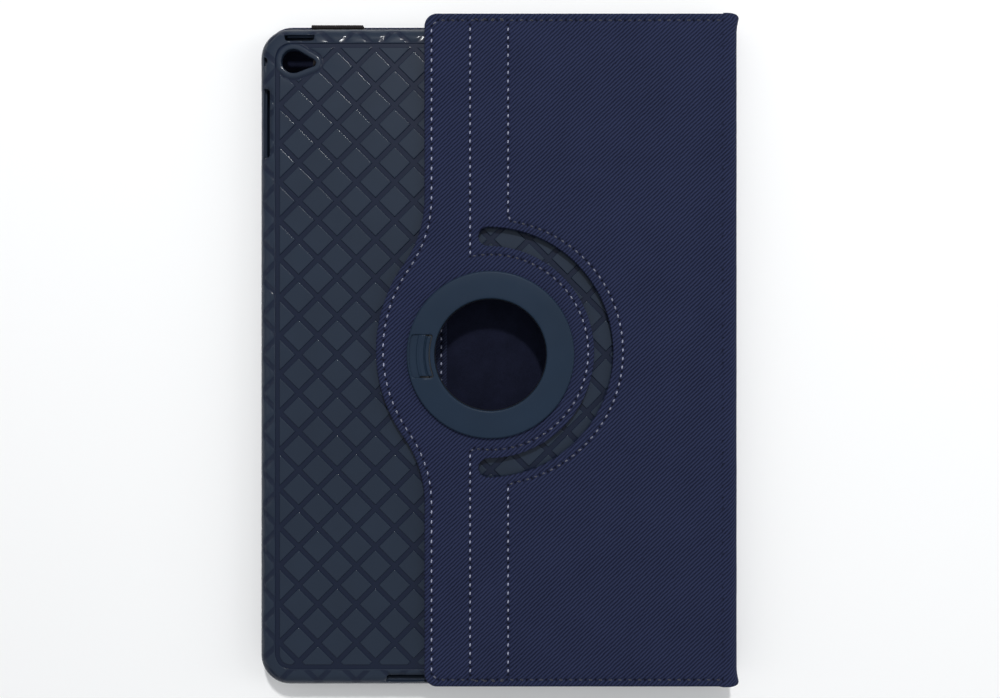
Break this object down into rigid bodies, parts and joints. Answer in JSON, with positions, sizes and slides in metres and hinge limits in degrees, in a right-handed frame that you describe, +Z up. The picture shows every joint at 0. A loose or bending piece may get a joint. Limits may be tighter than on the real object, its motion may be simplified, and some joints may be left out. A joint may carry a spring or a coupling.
{
  "type": "rotating tablet folio case",
  "caption": "Folio case for a tablet: twill covers on a soft spine, a moulded tray on a swivel ring, and a back panel with a wavy edge and a curved slot.",
  "frame": {"origin": "under the middle of the closed case, in the plane it lies on", "axes": "+X to the spine, +Y to the camera end, +Z up through the back panel and the swivel"},
  "size_m": [0.1852, 0.2593, 0.021],
  "materials": {
    "twill": "coated navy twill with fine diagonal ribs",
    "lining": "dark microfibre",
    "rib_twill": "coated navy twill strip",
    "board": "plain stiffener board",
    "felt": "plain felt strip",
    "elastic": "ribbed woven elastic",
    "tray": "satin moulded soft plastic with a diamond pattern",
    "swivel_plastic": "satin moulded slate blue plastic",
    "insert_plastic": "moulded dark plastic",
    "washer": "smooth slip film",
    "screw": "plain steel",
    "magnet": "plated disc magnet"
  },
  "bodies": {
    "front_cover": {"front_skin": "twill", "front_board": "board", "front_lining": "lining", "stand_rib_near": "rib_twill", "stand_rib_middle": "rib_twill", "stand_rib_far": "rib_twill", "wake_magnets": "magnet", "pen_loop": "elastic"},
    "spine": {"spine_skin": "twill", "spine_lining": "lining"},
    "back_panel": {"back_skin": "twill", "leg_board": "board", "wing_board": "board", "fold_strips": "felt", "back_lining": "lining", "hub_bushing": "swivel_plastic"},
    "tray": {"tray_shell": "tray", "hub_insert": "insert_plastic", "swivel_ring": "swivel_plastic", "hub_screws": "screw", "detent_tongue": "swivel_plastic", "lower_washer": "washer", "upper_washer": "washer"}
  },
  "joints": [
    {"name": "cover_hinge", "type": "hinge", "parent": "front_cover", "child": "spine", "pos_m": [0.0916, 0, 0.001], "axis": [0, 1, 0], "range_deg": [0, 90], "deforming": ["spine_skin", "spine_lining"]},
    {"name": "spine_hinge", "type": "hinge", "parent": "spine", "child": "back_panel", "pos_m": [0.0916, 0, 0.0182], "axis": [0, 1, 0], "range_deg": [0, 90], "deforming": ["spine_skin", "spine_lining"]},
    {"name": "tray_spin", "type": "hinge", "parent": "back_panel", "child": "tray", "pos_m": [-0.0025, -0.0018, 0], "axis": [0, 0, 1], "range_deg": [-180, 180], "deforming": ["detent_tongue", "pen_loop"]}
  ]
}
